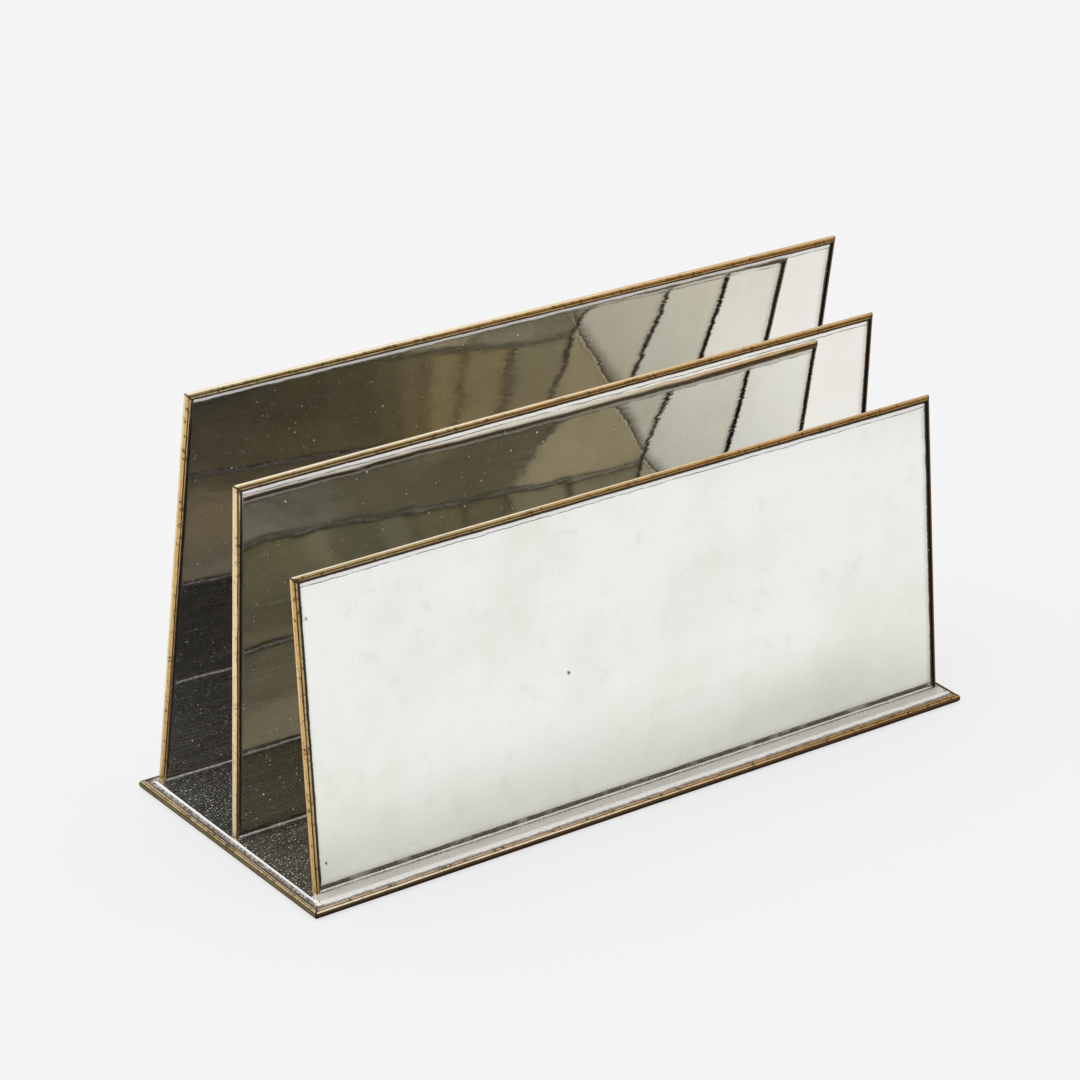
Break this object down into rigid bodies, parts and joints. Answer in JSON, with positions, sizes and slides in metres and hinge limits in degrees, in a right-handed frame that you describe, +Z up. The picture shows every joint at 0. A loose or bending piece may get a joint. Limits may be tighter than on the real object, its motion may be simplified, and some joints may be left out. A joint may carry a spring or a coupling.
{
  "type": "envelope sorter",
  "caption": "Open letter rack of polished sheet pewter edged with half-round brass wire: upright panels rise in height from front to back across a flat base, the outer ones leaning inwards.",
  "frame": {"origin": "middle of the base's length and depth, on the table top", "axes": "+X along the panels, +Y towards the tall panel at the back, +Z up"},
  "size_m": [0.25, 0.0966, 0.1385],
  "materials": {
    "pewter": "polished pewter with light oxide clouding and fine scratches",
    "solder": "rough tin solder, darkened",
    "brass": "worn brass wire, brown where tarnished"
  },
  "bodies": {
    "root": {"base_plate": "pewter", "front_panel": "pewter", "middle_panel": "pewter", "back_panel": "pewter", "base_wire_front": "brass", "base_wire_back": "brass", "base_wire_left": "brass", "base_wire_right": "brass", "front_wire_top": "brass", "front_wire_left": "brass", "front_wire_right": "brass", "middle_wire_top": "brass", "middle_wire_left": "brass", "middle_wire_right": "brass", "back_wire_top": "brass", "back_wire_left": "brass", "back_wire_right": "brass", "front_solder_seam": "solder", "middle_solder_seam": "solder", "back_solder_seam": "solder"}
  },
  "joints": []
}
